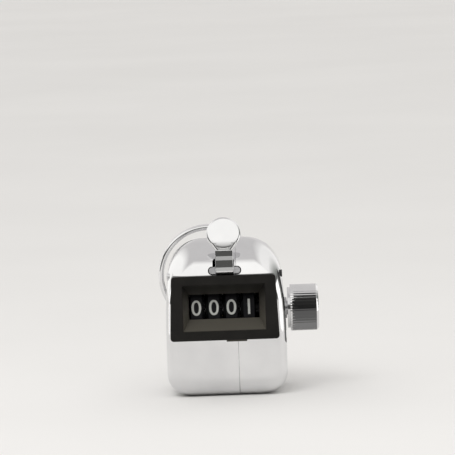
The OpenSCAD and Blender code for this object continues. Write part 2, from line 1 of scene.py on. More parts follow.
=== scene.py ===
import json
import math
import bpy
import bmesh
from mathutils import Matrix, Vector


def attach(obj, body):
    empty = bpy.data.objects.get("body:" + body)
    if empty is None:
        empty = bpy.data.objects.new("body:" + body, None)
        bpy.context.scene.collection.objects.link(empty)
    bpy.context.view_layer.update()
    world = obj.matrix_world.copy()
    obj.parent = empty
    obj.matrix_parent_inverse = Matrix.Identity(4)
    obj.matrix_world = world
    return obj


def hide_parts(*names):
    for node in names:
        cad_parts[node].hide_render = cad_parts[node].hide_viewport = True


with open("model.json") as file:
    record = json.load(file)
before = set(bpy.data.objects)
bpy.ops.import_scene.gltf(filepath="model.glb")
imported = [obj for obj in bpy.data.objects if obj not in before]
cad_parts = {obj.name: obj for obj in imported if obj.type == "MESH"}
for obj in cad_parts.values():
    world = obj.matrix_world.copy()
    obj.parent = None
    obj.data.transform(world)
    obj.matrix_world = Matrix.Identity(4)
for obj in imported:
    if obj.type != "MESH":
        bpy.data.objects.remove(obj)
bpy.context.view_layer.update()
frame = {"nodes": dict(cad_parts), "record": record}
scene = bpy.context.scene
mm = 0.001
shaftHigh = 23   # the axis of the wheels and the knob, in mm
print("frame loaded:", len(frame["nodes"]), "nodes")


# everyday moves

def pick(piece):
    bpy.ops.object.select_all(action="DESELECT")
    piece.select_set(True)
    bpy.context.view_layer.objects.active = piece


def startPiece(name):   # names the primitive that was just added and puts its place in its mesh
    piece = bpy.context.active_object
    piece.name = name
    piece.data.name = name
    bpy.ops.object.transform_apply(location=True, rotation=True, scale=True)
    return piece


def addBox(name, low, high):
    bpy.ops.object.select_all(action="DESELECT")
    middle = [(a + b) / 2 * mm for a, b in zip(low, high)]
    bpy.ops.mesh.primitive_cube_add(size=1, location=middle)
    bpy.context.active_object.scale = [(b - a) * mm for a, b in zip(low, high)]
    return startPiece(name)


def addRod(name, radius, start, end, sides=64):   # a round bar between two points
    bpy.ops.object.select_all(action="DESELECT")
    way = Vector(end) - Vector(start)
    bpy.ops.mesh.primitive_cylinder_add(vertices=sides, radius=radius * mm, depth=way.length * mm,
                                        location=(Vector(start) + way / 2) * mm,
                                        rotation=way.to_track_quat("Z", "Y").to_euler())
    return startPiece(name)


def openEdit(piece, kind="VERT"):
    pick(piece)
    bpy.ops.object.mode_set(mode="EDIT")
    bpy.ops.mesh.select_mode(type=kind)
    bpy.ops.mesh.select_all(action="DESELECT")


def closeEdit():
    bpy.ops.object.mode_set(mode="OBJECT")


def choose(piece, what, test):   # selects verts, edges or faces of the open mesh by their place or normal
    shape = bmesh.from_edit_mesh(piece.data)
    for part in getattr(shape, what):
        part.select_set(bool(test(part)))
    shape.select_flush_mode()
    bmesh.update_edit_mesh(piece.data)


def settle(piece, at, turn):   # moves a piece, turns it about X and puts both in its mesh
    piece.location = [c * mm for c in at]
    piece.rotation_euler = (turn, 0, 0)
    pick(piece)
    bpy.ops.object.transform_apply(location=True, rotation=True, scale=True)


def middleOf(edge):
    return (edge.verts[0].co + edge.verts[1].co) / 2


def push(x=0, y=0, z=0):
    bpy.ops.mesh.extrude_region_move(TRANSFORM_OT_translate={"value": (x * mm, y * mm, z * mm)})


def shift(x=0, y=0, z=0):
    bpy.ops.transform.translate(value=(x * mm, y * mm, z * mm))


def stretch(x, y, z, centre):
    bpy.ops.transform.resize(value=(x, y, z), center_override=[c * mm for c in centre])


def dress(piece, kind, **values):   # adds a modifier and applies it
    pick(piece)
    bpy.ops.object.modifier_add(type=kind)
    extra = piece.modifiers[-1]
    for key, value in values.items():
        setattr(extra, key, value)
    bpy.ops.object.modifier_apply(modifier=extra.name)


def scrap(piece):
    bpy.data.objects.remove(piece, do_unlink=True)


def carve(piece, tool, how="DIFFERENCE", keep=False):
    dress(piece, "BOOLEAN", object=tool, operation=how, solver="EXACT")
    if not keep:
        scrap(tool)


def copyOf(piece, name):
    twin = piece.copy()
    twin.data = piece.data.copy()
    twin.name = name
    twin.data.name = name
    scene.collection.objects.link(twin)
    return twin


def joinAll(pieces, name):
    pick(pieces[0])
    for piece in pieces[1:]:
        piece.select_set(True)
    bpy.ops.object.join()
    pieces[0].name = name
    pieces[0].data.name = name
    return pieces[0]


def breakEdges(piece, width, angle=40, segments=3):
    dress(piece, "BEVEL", width=width * mm, segments=segments, limit_method="ANGLE",
          angle_limit=math.radians(angle), use_clamp_overlap=True)


def smoothOver(piece, angle=32):
    pick(piece)
    bpy.ops.object.shade_smooth_by_angle(angle=math.radians(angle))
    dress(piece, "WEIGHTED_NORMAL", keep_sharp=True)


def place(piece, body, slot, material, *nodes):
    piece.data.materials.clear()
    piece.data.materials.append(material)
    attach(piece, body)
    if nodes:
        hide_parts(*nodes)


# finishes

def newFinish(name, colour, metal, rough):
    made = bpy.data.materials.new(name)
    made.use_nodes = True
    shader = made.node_tree.nodes["Principled BSDF"]
    shader.inputs["Base Color"].default_value = (*colour, 1)
    shader.inputs["Metallic"].default_value = metal
    shader.inputs["Roughness"].default_value = rough
    return made, made.node_tree, shader


def grain(tree, scale, detail=4, stretchBy=(1, 1, 1)):   # noise on the piece's own coordinates
    where = tree.nodes.new("ShaderNodeTexCoord")
    turn = tree.nodes.new("ShaderNodeMapping")
    turn.inputs["Scale"].default_value = stretchBy
    noise = tree.nodes.new("ShaderNodeTexNoise")
    noise.inputs["Scale"].default_value = scale
    noise.inputs["Detail"].default_value = detail
    tree.links.new(where.outputs["Object"], turn.inputs["Vector"])
    tree.links.new(turn.outputs["Vector"], noise.inputs["Vector"])
    return noise.outputs["Fac"]


def spread(tree, source, low, high):   # maps noise, which is mostly 0.3 to 0.7, to a range
    span = tree.nodes.new("ShaderNodeMapRange")
    span.inputs["From Min"].default_value = 0.3
    span.inputs["From Max"].default_value = 0.7
    span.inputs["To Min"].default_value = low
    span.inputs["To Max"].default_value = high
    tree.links.new(source, span.inputs["Value"])
    return span.outputs["Result"]


def tint(tree, source, first, second):
    blend = tree.nodes.new("ShaderNodeMix")
    blend.data_type = "RGBA"
    blend.inputs[6].default_value = (*first, 1)
    blend.inputs[7].default_value = (*second, 1)
    tree.links.new(source, blend.inputs[0])
    return blend.outputs[2]


def dent(tree, shader, source, depth, strength=1):
    bump = tree.nodes.new("ShaderNodeBump")
    bump.inputs["Strength"].default_value = strength
    bump.inputs["Distance"].default_value = depth
    tree.links.new(source, bump.inputs["Height"])
    tree.links.new(bump.outputs["Normal"], shader.inputs["Normal"])


def alongAxis(tree, axis, start, end):   # rises from 0 to 1 between two places on the piece
    where = tree.nodes.new("ShaderNodeTexCoord")
    parts = tree.nodes.new("ShaderNodeSeparateXYZ")
    span = tree.nodes.new("ShaderNodeMapRange")
    span.inputs["From Min"].default_value = start
    span.inputs["From Max"].default_value = end
    tree.links.new(where.outputs["Object"], parts.inputs["Vector"])
    tree.links.new(parts.outputs[axis], span.inputs["Value"])
    return span.outputs["Result"]


def overpaint(tree, shader, source, colour):   # a second colour over the one that is there
    plain = shader.inputs["Base Color"].links[0].from_socket
    blend = tint(tree, source, colour, colour)
    tree.links.new(plain, blend.node.inputs[6])
    tree.links.new(blend, shader.inputs["Base Color"])


chromeLook = {"dark": (0.70, 0.70, 0.71), "bright": (0.78, 0.78, 0.785), "rough": (0.045, 0.1)}
# the paler brownish colour below, with its depth and height ranges, is painted light on the low slopes of the
# window recess
plasticLook = {"colour": (0.012, 0.0115, 0.0105), "pale": (0.017, 0.016, 0.0145), "rough": (0.3, 0.4),
               "shine": 0.1, "paintedLight": (0.085, 0.079, 0.066), "paintedLightDepth": (-0.01495, -0.0146),
               "paintedLightHeight": (0.031, 0.022)}
wheelLook = {"colour": (0.006, 0.006, 0.0075), "pale": (0.009, 0.009, 0.0105), "rough": (0.4, 0.55),
             "shine": 0.12}
digitLook = {"colour": (0.48, 0.49, 0.47), "pale": (0.56, 0.57, 0.54), "rough": (0.45, 0.6), "shine": 0.3}
blackLook = {"colour": (0.012, 0.012, 0.013), "pale": (0.02, 0.02, 0.021), "rough": (0.35, 0.5), "shine": 0.4}
pinLook = {"turnsBright": (0.001, -0.001)}   # from right to left, about the middle of the case
steelLook = {"dark": (0.34, 0.34, 0.35), "bright": (0.5, 0.5, 0.51), "rough": (0.24, 0.4)}
brassLook = {"dark": (0.55, 0.38, 0.14), "bright": (0.72, 0.53, 0.24), "rough": (0.2, 0.36)}


def chromeFinish(name):
    made, tree, shader = newFinish(name, chromeLook["bright"], 1, chromeLook["rough"][0])
    cloud = spread(tree, grain(tree, 90, 3), 0, 1)
    tree.links.new(tint(tree, cloud, chromeLook["dark"], chromeLook["bright"]), shader.inputs["Base Color"])
    smear = spread(tree, grain(tree, 260, 6), *chromeLook["rough"])
    tree.links.new(smear, shader.inputs["Roughness"])
    dent(tree, shader, grain(tree, 140, 2), 0.00001, 0.6)   # slow ripple of drawn and plated metal
    return made


def mouldedFinish(name, look, pitch):
    made, tree, shader = newFinish(name, look["colour"], 0, look["rough"][0])
    shader.inputs["Specular IOR Level"].default_value = look["shine"]
    tree.links.new(tint(tree, spread(tree, grain(tree, 200, 5), 0, 1), look["colour"], look["pale"]),
                   shader.inputs["Base Color"])
    tree.links.new(spread(tree, grain(tree, 700, 4), *look["rough"]), shader.inputs["Roughness"])
    dent(tree, shader, grain(tree, pitch, 3), 0.000006, 0.3)
    return made


def dustFinish(name, look, pitch):   # moulding with painted light: a paler colour on the low slopes of the recess behind its front face, standing in for the light they catch
    made = mouldedFinish(name, look, pitch)
    tree = made.node_tree
    shader = tree.nodes["Principled BSDF"]
    # mask of the painted light: just behind the front face, stronger lower down
    both = tree.nodes.new("ShaderNodeMath")
    both.operation = "MULTIPLY"
    tree.links.new(alongAxis(tree, "Y", *look["paintedLightDepth"]), both.inputs[0])
    tree.links.new(alongAxis(tree, "Z", *look["paintedLightHeight"]), both.inputs[1])
    overpaint(tree, shader, both.outputs["Value"], look["paintedLight"])
    return made


def turnedFinish(name, look, along):
    made, tree, shader = newFinish(name, look["bright"], 1, look["rough"][0])
    streak = spread(tree, grain(tree, 900, 5, along), 0, 1)
    tree.links.new(tint(tree, streak, look["dark"], look["bright"]), shader.inputs["Base Color"])
    tree.links.new(spread(tree, grain(tree, 1500, 4, along), *look["rough"]), shader.inputs["Roughness"])
    dent(tree, shader, grain(tree, 1800, 3, along), 0.000008, 0.5)
    return made


def pinFinish(name):   # polished metal at the left end, black and not metallic at the right
    made = mouldedFinish(name, blackLook, 2200)
    tree = made.node_tree
    shader = tree.nodes["Principled BSDF"]
    left = alongAxis(tree, "X", *pinLook["turnsBright"])
    overpaint(tree, shader, left, chromeLook["bright"])
    tree.links.new(left, shader.inputs["Metallic"])
    return made


caseChrome = chromeFinish("caseChrome")
leverChrome = chromeFinish("leverChrome")
knobChrome = chromeFinish("knobChrome")
ringChrome = chromeFinish("ringChrome")
# the bezel's moulding carries painted light on the lower slopes of its recess
bezelPlastic = dustFinish("bezelPlastic", plasticLook, 2600)
wheelPlastic = mouldedFinish("wheelPlastic", wheelLook, 3000)
digitPaint = mouldedFinish("digitPaint", digitLook, 4000)
blackSteel = mouldedFinish("blackSteel", blackLook, 2200)
pinSteel = pinFinish("pinSteel")
brightSteel = turnedFinish("brightSteel", steelLook, (0.2, 1, 1))
turnedBrass = turnedFinish("turnedBrass", brassLook, (0.2, 1, 1))
print("finishes ready")


# case: one domed body, cut at the seam into two cups

caseSet = {"width": 34, "depth": 28, "height": 43.7, "foot": 6.5, "heel": 5, "edge": 3.5,
           "leanFrom": 16, "leanRadius": 185.7, "leanTo": 33.75, "shoulder": 11, "shoulderAt": (5.2, 32.7),
           "soft": 2.1, "softFrom": 28, "softTo": 38, "seam": 3.3, "groove": 0.07, "wall": 0.9,
           "footSteps": 9, "sideRings": (11, 16, 20, 24, 27), "topSteps": 22, "topTurn": 88,
           "seamShrink": (0.991, 0.994), "seamMiddle": 22, "cutFrom": -20, "cutTo": (-11, -7.5),
           "window": (25.5, 15.3), "windowAt": (-0.4, 25.4), "slot": (9.4, 2.3), "slotAt": (0.1, 35.7),
           "notch": (-3.25, 2.8, 3.2), "notchRound": 0.8, "pivot": (-9, 34), "pinHole": 1.02,
           "bushHole": 3.02, "edgeBreak": 0.07}


def halfWidth(z):   # upright sides, a slow lean, then the round shoulder
    s = caseSet
    if z <= s["leanFrom"]:
        return s["width"] / 2
    if z <= s["leanTo"]:
        return s["width"] / 2 - s["leanRadius"] + math.sqrt(s["leanRadius"] ** 2 - (z - s["leanFrom"]) ** 2)
    x, low = s["shoulderAt"]
    return x + math.sqrt(s["shoulder"] ** 2 - (z - low) ** 2)


def caseRings():   # height, half width and half depth of each ring from the base to the top
    s = caseSet
    rings = []
    for k in range(s["footSteps"] + 1):
        z = s["foot"] * (1 - math.cos(math.radians(90) * k / s["footSteps"]))
        fromFoot = s["foot"] - z
        fromHeel = max(0, s["heel"] - z)
        rings.append((z, s["width"] / 2 - s["foot"] + math.sqrt(s["foot"] ** 2 - fromFoot ** 2),
                      s["depth"] / 2 - s["heel"] + math.sqrt(s["heel"] ** 2 - fromHeel ** 2)))
    arch = s["depth"] / 2
    for z in s["sideRings"]:
        rings.append((z, halfWidth(z), arch))
    for k in range(s["topSteps"] + 1):
        a = math.radians(s["topTurn"]) * k / s["topSteps"]
        z = s["height"] - arch * (1 - math.sin(a))
        rings.append((z, halfWidth(z), arch * math.cos(a)))
    return rings


def buildCaseBody():
    s = caseSet
    rings = caseRings()
    bpy.ops.object.select_all(action="DESELECT")
    bpy.ops.mesh.primitive_plane_add(size=1, location=(0, 0, 0))
    body = startPiece("caseBody")
    openEdit(body)
    bpy.ops.mesh.select_all(action="SELECT")
    stretch(s["width"] * mm, s["depth"] * mm, 1, (0, 0, 0))
    bpy.ops.mesh.bevel(offset=s["edge"] * mm, affect="VERTICES", segments=10)
    bpy.ops.mesh.select_all(action="SELECT")
    stretch(rings[0][1] / (s["width"] / 2), rings[0][2] / (s["depth"] / 2), 1, (0, 0, 0))
    for last, ring in zip(rings, rings[1:]):
        push(z=ring[0] - last[0])
        stretch(ring[1] / last[1], ring[2] / last[2], 1, (0, 0, ring[0]))
    for z, x, y in rings:
        rise = min(1, max(0, (z - s["softFrom"]) / (s["softTo"] - s["softFrom"])))
        if rise > 0:
            softenCorners(body, z, x, y, 1 + (s["soft"] - 1) * rise)
    bpy.ops.mesh.select_all(action="SELECT")
    bpy.ops.mesh.normals_make_consistent(inside=False)
    closeEdit()
    return body


def softenCorners(body, z, x, y, ratio):   # widens the four round corners of one ring
    for side in (-1, 1):
        for way in (-1, 1):
            choose(body, "verts",
                   lambda v: abs(v.co.z - z * mm) < 1e-6 and v.co.x * side > 0 and v.co.y * way > 0)
            stretch(ratio, ratio, 1, (side * x, way * y, z))


def cupFrom(body, name, side):   # keeps one side of the seam, with a fine groove along it
    s = caseSet
    cup = copyOf(body, name)
    openEdit(cup)
    bpy.ops.mesh.select_all(action="SELECT")
    at = (s["seam"] + side * s["groove"]) * mm
    bpy.ops.mesh.bisect(plane_co=(at, 0, 0), plane_no=(1, 0, 0), clear_inner=side > 0, clear_outer=side < 0,
                        threshold=1e-7)
    bpy.ops.mesh.select_mode(type="EDGE")
    choose(cup, "edges", lambda e: e.is_boundary and all(abs(v.co.x - at) < 1e-6 for v in e.verts))
    push(x=-side * s["groove"])
    stretch(1, *s["seamShrink"], (s["seam"], 0, s["seamMiddle"]))
    closeEdit()
    dress(cup, "SOLIDIFY", thickness=s["wall"] * mm, offset=-1)
    return cup


def slotTool(name):
    s = caseSet
    w, h = s["slot"]
    x, z = s["slotAt"]
    front, back = s["cutFrom"], s["cutTo"][1]
    tool = addBox(name, (x - w / 2, front, z - h / 2), (x + w / 2, back, z + h / 2))
    left, right, rise = s["notch"]
    notch = addBox("notchTool", (left, front, z), (right, back, z + rise))
    for part, corner in ((tool, h / 2 - 0.02), (notch, s["notchRound"])):
        openEdit(part, "EDGE")
        choose(part, "edges", lambda e: abs(e.verts[0].co.y - e.verts[1].co.y) > 5 * mm)
        bpy.ops.mesh.bevel(offset=corner * mm, segments=10)
        closeEdit()
    carve(tool, notch, "UNION")
    return tool


def openCup(cup):   # window, lever slot and pin holes
    s = caseSet
    w, h = s["window"]
    x, z = s["windowAt"]
    front, back = s["cutFrom"], s["cutTo"][0]
    carve(cup, addBox("windowTool", (x - w / 2, front, z - h / 2), (x + w / 2, back, z + h / 2)))
    carve(cup, slotTool("slotTool"))
    y, z = s["pivot"]
    carve(cup, addRod("pinTool", s["pinHole"], (-30, y, z), (30, y, z), 48))


caseBody = buildCaseBody()
leftCup = cupFrom(caseBody, "leftCup", -1)
openCup(leftCup)
rightCup = cupFrom(caseBody, "rightCup", 1)
openCup(rightCup)
carve(rightCup, addRod("bushTool", caseSet["bushHole"], (10, 0, shaftHigh), (30, 0, shaftHigh)))
for cup in (leftCup, rightCup):
    breakEdges(cup, caseSet["edgeBreak"], 50, 2)
    smoothOver(cup, 34)
place(leftCup, "root", "case_chrome", caseChrome, "left_case")
place(rightCup, "root", "case_chrome", caseChrome, "right_case")
print("case:", len(leftCup.data.polygons), len(rightCup.data.polygons), "faces")


# black window frame

bezelSet = {"top": 29.3, "bottom": 30.8, "height": 18.3, "centre": (-0.4, 25.4), "front": -15, "back": -10.9,
            "corner": 1, "plug": (25.2, 15), "recess": (23.4, 13.2), "sight": (19.9, 7), "lip": (0, 5.8, 0.5),
            "lipDepth": (0.5, 0.95), "lipIn": 1, "plugFrom": 0.4, "through": 2, "edge": 0.2}


def buildBezel():
    s = bezelSet
    x, z = s["centre"]
    low, high = z - s["height"] / 2, z + s["height"] / 2
    half = s["bottom"] / 2
    plate = addBox("windowFrame", (x - half, s["front"], low), (x + half, s["back"], high))
    openEdit(plate)
    choose(plate, "verts", lambda v: v.co.z > z * mm)
    stretch(s["top"] / s["bottom"], 1, 1, (x, 0, high))
    bpy.ops.mesh.select_mode(type="EDGE")
    choose(plate, "edges", lambda e: abs(e.verts[0].co.y - e.verts[1].co.y) > 1 * mm)
    bpy.ops.mesh.bevel(offset=s["corner"] * mm, segments=6)
    closeEdit()
    carve(plate, caseBody, keep=True)
    w, h = s["plug"]
    near = s["front"] + s["plugFrom"]
    plug = addBox("plug", (x - w / 2, near, z - h / 2), (x + w / 2, s["back"], z + h / 2))
    carve(plate, plug, "UNION")
    left, wide, drop = s["lip"]
    near, far = (s["front"] + depth for depth in s["lipDepth"])
    lip = addBox("lip", (left, near, low - drop), (left + wide, far, low + s["lipIn"]))
    carve(plate, lip, "UNION")
    w, h = s["recess"]
    tool = addBox("recessTool", (x - w / 2, s["front"], z - h / 2), (x + w / 2, s["back"], z + h / 2))
    openEdit(tool, "FACE")
    choose(tool, "faces", lambda f: f.normal.y > 0.9)
    stretch(s["sight"][0] / w, 1, s["sight"][1] / h, (x, s["back"], z))
    push(y=s["through"])
    choose(tool, "faces", lambda f: f.normal.y < -0.9)
    push(y=-s["through"])
    closeEdit()
    carve(plate, tool)
    breakEdges(plate, s["edge"], 30, 3)
    smoothOver(plate, 30)
    return plate


windowFrame = buildBezel()
place(windowFrame, "root", "bezel_black", bezelPlastic, "window_bezel")
scrap(caseBody)
print("window frame:", len(windowFrame.data.polygons), "faces")


# white digits, ten on each number wheel

wheelSet = {"radius": 10.5, "pitch": 4.95, "middle": -0.8, "shown": (0, 0, 0, 1), "lift": 11.2,
            "proud": 0.035, "digit": (2.75, 4.35), "bar": 0.66, "text": 6, "weight": 0.004, "rows": 12,
            "step": 36,
            "bodies": ("thousands", "hundreds", "tens", "units")}


def buildDigit(number):   # flat digit in front of the shaft, bent onto the wheel
    s = wheelSet
    bpy.ops.object.select_all(action="DESELECT")
    bpy.ops.object.text_add(location=(0, 0, 0), rotation=(math.radians(90), 0, 0))
    words = bpy.context.active_object
    words.data.body = "I" if number == 1 else str(number)
    words.data.size = s["text"] * mm
    words.data.offset = s["weight"] * s["text"] * mm
    words.data.resolution_u = 8
    bpy.ops.object.convert(target="MESH")
    digit = startPiece("digit%d" % number)
    xs = [v.co.x for v in digit.data.vertices]
    zs = [v.co.z for v in digit.data.vertices]
    wide = s["bar"] if number == 1 else s["digit"][0]
    openEdit(digit)
    bpy.ops.mesh.select_all(action="SELECT")
    shift(-(min(xs) + max(xs)) / 2 / mm, -s["radius"], -(min(zs) + max(zs)) / 2 / mm)
    stretch(wide * mm / (max(xs) - min(xs)), 1, s["digit"][1] * mm / (max(zs) - min(zs)), (0, 0, 0))
    bpy.ops.mesh.remove_doubles(threshold=1e-6)
    for k in range(1, s["rows"]):   # rows of points that let the face follow the rim
        bpy.ops.mesh.select_all(action="SELECT")
        bpy.ops.mesh.bisect(plane_co=(0, 0, (k / s["rows"] - 0.5) * s["digit"][1] * mm), plane_no=(0, 0, 1),
                            threshold=1e-7)
    closeEdit()
    rim = addRod("rim", s["radius"] + s["proud"], (-5, 0, 0), (5, 0, 0), 256)
    dress(digit, "SHRINKWRAP", target=rim, wrap_method="PROJECT", use_project_y=True,
          use_negative_direction=True, use_positive_direction=True)
    scrap(rim)
    return digit


def buildWheelDigits(digits, index):
    s = wheelSet
    x = s["middle"] + (index - 1.5) * s["pitch"]
    row = []
    for number, digit in enumerate(digits):
        twin = copyOf(digit, "%sDigit%d" % (s["bodies"][index], number))
        turn = s["lift"] + s["step"] * (number - s["shown"][index])
        settle(twin, (x, 0, shaftHigh), -math.radians(turn))
        row.append(twin)
    return joinAll(row, s["bodies"][index] + "Digits")


digits = [buildDigit(number) for number in range(10)]
for index in range(4):
    wheelDigits = buildWheelDigits(digits, index)
    place(wheelDigits, wheelSet["bodies"][index], "wheel_black", digitPaint)
for digit in digits:
    scrap(digit)
print("digits on four wheels")


# thumb lever: bent strip, domed pad, and the hub, arm and tongue inside

leverSet = {"x": 0.1, "width": 5, "thick": 1, "pivot": (-9, 34), "hub": 1.9, "hubEnds": (-4.6, 10.575),
            "bore": 1.05,
            "path": ((-9, 34), (-13, 34.9), (-13.7, 35.35), (-13.88, 35.8), (-13.65, 36.65), (-13.37, 38.65),
                     (-13.08, 39.75), (-12.83, 41.5)),
            "neck": (-12.6, 41.4), "lean": 25, "pad": 4.85, "reach": 4.95, "neckHalf": 2.4, "front": 0.9,
            "back": 0.6, "dome": 28, "roll": 0.75, "backRoll": 0.25, "upright": 2, "fall": 10,
            "domeSteps": 8, "rollSteps": 10, "backSteps": 4, "armAt": (9.575, 10.575),
            "armEnd": (-5.872, 32.215), "armHalf": 1.1, "tongueAt": (-2.4, -0.8), "tongueEnd": (-4, 38),
            "tongueHalf": 0.8,
            "ears": (8.8, 0.5, 2), "earsAt": (-11.5, 35.6), "earsLean": 20, "earsRound": 0.9,
            "stripEdge": 0.16}


def buildStrip():
    s = leverSet
    first = s["path"][0]
    bpy.ops.object.select_all(action="DESELECT")
    bpy.ops.mesh.primitive_plane_add(size=s["width"] * mm,
                                     location=(s["x"] * mm, first[0] * mm, first[1] * mm))
    strip = startPiece("strip")
    openEdit(strip)
    choose(strip, "verts", lambda v: v.co.y > first[0] * mm)
    bpy.ops.mesh.delete(type="VERT")
    bpy.ops.mesh.select_all(action="SELECT")
    shift(y=s["width"] / 2)
    for last, point in zip(s["path"], s["path"][1:]):
        push(y=point[0] - last[0], z=point[1] - last[1])
    closeEdit()
    dress(strip, "SOLIDIFY", thickness=s["thick"] * mm, offset=0, use_even_offset=True)
    openEdit(strip)
    bpy.ops.mesh.select_all(action="SELECT")
    bpy.ops.mesh.normals_make_consistent(inside=False)
    closeEdit()
    return strip


def padSection():   # half section of the round pad: domed face, rolled edge, wall and flat back
    s = leverSet
    inner, tight = s["pad"] - s["roll"], s["pad"] - s["backRoll"]
    run = s["dome"] - s["roll"]
    slope = math.asin(inner / run)   # where the dome runs into the roll
    rollAt = s["front"] - s["dome"] + run * math.cos(slope)
    points = []
    for k in range(s["domeSteps"]):
        a = slope * k / s["domeSteps"]
        points.append((s["dome"] * math.sin(a), s["front"] - s["dome"] * (1 - math.cos(a))))
    for k in range(s["rollSteps"] + 1):
        a = slope + (math.radians(90) - slope) * k / s["rollSteps"]
        points.append((inner + s["roll"] * math.sin(a), rollAt + s["roll"] * math.cos(a)))
    for k in range(s["backSteps"] + 1):
        a = math.radians(90) * k / s["backSteps"]
        points.append((tight + s["backRoll"] * math.cos(a), s["backRoll"] * (1 - math.sin(a)) - s["back"]))
    return points + [(0, -s["back"])]


def buildDisc():   # the section spun round, set a little more upright than the neck
    s = leverSet
    points = padSection()
    bpy.ops.object.select_all(action="DESELECT")
    bpy.ops.mesh.primitive_plane_add(size=mm, location=(0, 0, 0))
    disc = startPiece("pad")
    openEdit(disc)
    bpy.ops.mesh.select_all(action="SELECT")
    bpy.ops.mesh.merge(type="CENTER")
    bpy.ops.mesh.select_all(action="SELECT")
    shift(z=points[0][1])
    for last, point in zip(points, points[1:]):
        way = ((point[0] - last[0]) * mm, 0, (point[1] - last[1]) * mm)
        bpy.ops.mesh.extrude_vertices_move(TRANSFORM_OT_translate={"value": way})
    bpy.ops.mesh.select_all(action="SELECT")
    bpy.ops.mesh.spin(steps=128, angle=math.tau, center=(0, 0, 0), axis=(0, 0, 1))
    bpy.ops.mesh.select_all(action="SELECT")
    bpy.ops.mesh.remove_doubles(threshold=1e-6)
    bpy.ops.mesh.normals_make_consistent(inside=False)
    closeEdit()
    settle(disc, (0, s["reach"], 0), math.radians(s["upright"]))
    return disc


def buildPad():   # keyhole pad with rolled edges, made lying flat and then leaned back
    s = leverSet
    pad = buildDisc()
    corner = Vector((s["neckHalf"], -s["reach"]))
    flank = math.atan2(corner.y, corner.x) + math.acos(s["pad"] / corner.length)
    touch = (s["pad"] * math.cos(flank), s["reach"] + s["pad"] * math.sin(flank))
    high = padSection()[s["domeSteps"]][1]   # the dome's height where the roll starts
    flanks = addBox("flanks", (-s["neckHalf"], 0, -s["back"]), (s["neckHalf"], touch[1], high))
    openEdit(flanks)
    choose(flanks, "verts", lambda v: v.co.y > touch[1] / 2 * mm)
    stretch(touch[0] / s["neckHalf"], 1, 1, (0, touch[1], 0))
    choose(flanks, "verts", lambda v: v.co.y < touch[1] / 2 * mm and v.co.z > 0)
    shift(z=-touch[1] * math.tan(math.radians(s["fall"])))
    bpy.ops.mesh.select_mode(type="EDGE")
    choose(flanks, "edges", lambda e: middleOf(e).z > 0 and abs(middleOf(e).x) > 1 * mm)
    bpy.ops.mesh.bevel(offset=s["roll"] * mm, segments=10)
    closeEdit()
    carve(pad, flanks, "UNION")
    settle(pad, (s["x"], *s["neck"]), math.radians(90 - s["lean"]))
    return pad


def buildBar(name, xs, start, end, half):   # flat bar with round ends, seen from the side
    first = addRod(name, half, (xs[0], *start), (xs[1], *start), 48)
    second = addRod("barEnd", half, (xs[0], *end), (xs[1], *end), 48)
    way = Vector(end) - Vector(start)
    web = addBox("barWeb", (xs[0], 0, -half), (xs[1], way.length, half))
    settle(web, (0, *start), math.atan2(way.y, way.x))
    carve(first, second, "UNION")
    carve(first, web, "UNION")
    return first


def buildEars():   # wide foot of the strip, just behind the slot
    s = leverSet
    w, d, h = s["ears"]
    ears = addBox("ears", (-w / 2, -d / 2, -h / 2), (w / 2, d / 2, h / 2))
    openEdit(ears, "EDGE")
    choose(ears, "edges", lambda e: abs(e.verts[0].co.y - e.verts[1].co.y) > 0.1 * mm)
    bpy.ops.mesh.bevel(offset=s["earsRound"] * mm, segments=8)
    closeEdit()
    settle(ears, (s["x"], *s["earsAt"]), -math.radians(s["earsLean"]))
    return ears


def buildLever():
    s = leverSet
    strip = buildStrip()
    breakEdges(strip, s["stripEdge"], 60, 3)
    left, right = s["hubEnds"]
    works = addRod("works", s["hub"], (left, *s["pivot"]), (right, *s["pivot"]), 64)
    carve(works, buildBar("arm", s["armAt"], s["pivot"], s["armEnd"], s["armHalf"]), "UNION")
    carve(works, buildBar("tongue", s["tongueAt"], s["pivot"], s["tongueEnd"], s["tongueHalf"]), "UNION")
    carve(works, buildEars(), "UNION")
    for part in (works, strip):
        carve(part, addRod("boreTool", s["bore"], (-20, *s["pivot"]), (20, *s["pivot"]), 48))
    pad = buildPad()
    for part, angle in ((strip, 5), (works, 34), (pad, 34)):   # the ridges across the strip stay crisp
        smoothOver(part, angle)
    return joinAll([pad, strip], "thumbLever"), works


thumbLever, leverWorks = buildLever()
place(thumbLever, "lever", "lever_chrome", leverChrome, "thumb_lever")
place(leverWorks, "lever", "lever_chrome", brightSteel)
leverWorks.name = leverWorks.data.name = "leverWorks"
print("thumb lever:", len(thumbLever.data.polygons) + len(leverWorks.data.polygons), "faces")


# reset knob: fluted, with a collar towards the case and a sunk screw

knobSet = {"radius": 6.6, "collar": 5.8, "start": 17.6, "step": 0.8, "end": 26.4, "chamfer": 0.6,
           "flutes": 44, "sides": 4,
           "depth": 0.065, "bore": 2.02, "shaftEnd": 23.6, "seat": 24.9, "sink": 2.3}


